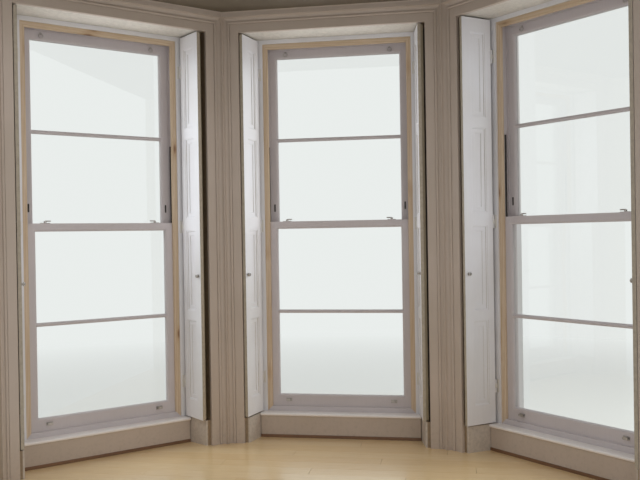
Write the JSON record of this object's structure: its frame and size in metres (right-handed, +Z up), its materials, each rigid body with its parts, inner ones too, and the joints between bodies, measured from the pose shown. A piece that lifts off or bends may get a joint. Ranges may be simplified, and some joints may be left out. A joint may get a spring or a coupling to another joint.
{
  "type": "canted bay window",
  "caption": "Canted bay window with tall box sashes, panelled folding shutters in splayed boxes, moulded architraves and masonry piers.",
  "frame": {"origin": "middle of the footprint box, on the ground", "axes": "+X along the house wall, +Y out of the house, +Z up"},
  "size_m": [5.1476, 2.0195, 4.7575],
  "materials": {
    "masonry": "lined-out lime render on brick",
    "dressed_stone": "fine sawn sandstone",
    "lead_roof": "weathered lead sheet, matt",
    "floor_boards": "golden boards, satin lacquer",
    "ceiling_plaster": "matt painted plaster",
    "bare_pine": "bare knotty pine",
    "clear_glass": "clear float glass",
    "nickel_fittings": "satin nickel plate",
    "dark_tube": "dark bronze, satin",
    "painted_hinges": "painted over, satin",
    "sash_paint": "matt off-white primer on timber",
    "joinery_paint": "satin cream paint on timber",
    "shutter_paint": "satin white paint on timber"
  },
  "bodies": {
    "bay": {"plinth": "masonry", "spandrel_walls": "masonry", "corner_piers": "masonry", "end_piers": "masonry", "lintels": "masonry", "cornice": "dressed_stone", "roof": "lead_roof", "stone_cills": "dressed_stone", "floor": "floor_boards", "ceiling": "ceiling_plaster", "aprons": "joinery_paint", "window_boards": "sash_paint", "staff_beads": "bare_pine", "glass_panes": "clear_glass", "sash_fittings": "nickel_fittings", "balance_tubes": "dark_tube", "shutter_hinges": "painted_hinges", "left_frame": "sash_paint", "left_upper_sash": "sash_paint", "left_lower_sash": "sash_paint", "left_shutter_boxes": "shutter_paint", "left_architrave": "joinery_paint", "centre_frame": "sash_paint", "centre_upper_sash": "sash_paint", "centre_lower_sash": "sash_paint", "centre_shutter_boxes": "shutter_paint", "centre_architrave": "joinery_paint", "right_frame": "sash_paint", "right_upper_sash": "sash_paint", "right_lower_sash": "sash_paint", "right_shutter_boxes": "shutter_paint", "right_architrave": "joinery_paint"},
    "left_window_left_shutter": {"left_window_left_leaf": "shutter_paint", "left_window_left_flap": "shutter_paint"},
    "left_window_right_shutter": {"left_window_right_leaf": "shutter_paint", "left_window_right_flap": "shutter_paint"},
    "centre_window_left_shutter": {"centre_window_left_leaf": "shutter_paint", "centre_window_left_flap": "shutter_paint"},
    "centre_window_right_shutter": {"centre_window_right_leaf": "shutter_paint", "centre_window_right_flap": "shutter_paint"},
    "right_window_left_shutter": {"right_window_left_leaf": "shutter_paint", "right_window_left_flap": "shutter_paint"},
    "right_window_right_shutter": {"right_window_right_leaf": "shutter_paint", "right_window_right_flap": "shutter_paint"}
  },
  "joints": [
    {"name": "left_window_left_shutter_swing", "type": "hinge", "parent": "bay", "child": "left_window_left_shutter", "pos_m": [-1.9423, -0.44485, 2.475], "axis": [0, 0, 1], "range_deg": [0, 103.3]},
    {"name": "left_window_right_shutter_swing", "type": "hinge", "parent": "bay", "child": "left_window_right_shutter", "pos_m": [-1.11923, 0.37822, 2.475], "axis": [0, 0, -1], "range_deg": [-10.5, 92.8]},
    {"name": "centre_window_left_shutter_swing", "type": "hinge", "parent": "bay", "child": "centre_window_left_shutter", "pos_m": [-0.582, 0.60075, 2.475], "axis": [0, 0, 1], "range_deg": [0, 103.3]},
    {"name": "centre_window_right_shutter_swing", "type": "hinge", "parent": "bay", "child": "centre_window_right_shutter", "pos_m": [0.582, 0.60075, 2.475], "axis": [0, 0, -1], "range_deg": [-5, 98.3]},
    {"name": "right_window_left_shutter_swing", "type": "hinge", "parent": "bay", "child": "right_window_left_shutter", "pos_m": [1.11923, 0.37822, 2.475], "axis": [0, 0, 1], "range_deg": [-6, 97.3]},
    {"name": "right_window_right_shutter_swing", "type": "hinge", "parent": "bay", "child": "right_window_right_shutter", "pos_m": [1.9423, -0.44485, 2.475], "axis": [0, 0, -1], "range_deg": [0, 103.3]}
  ]
}
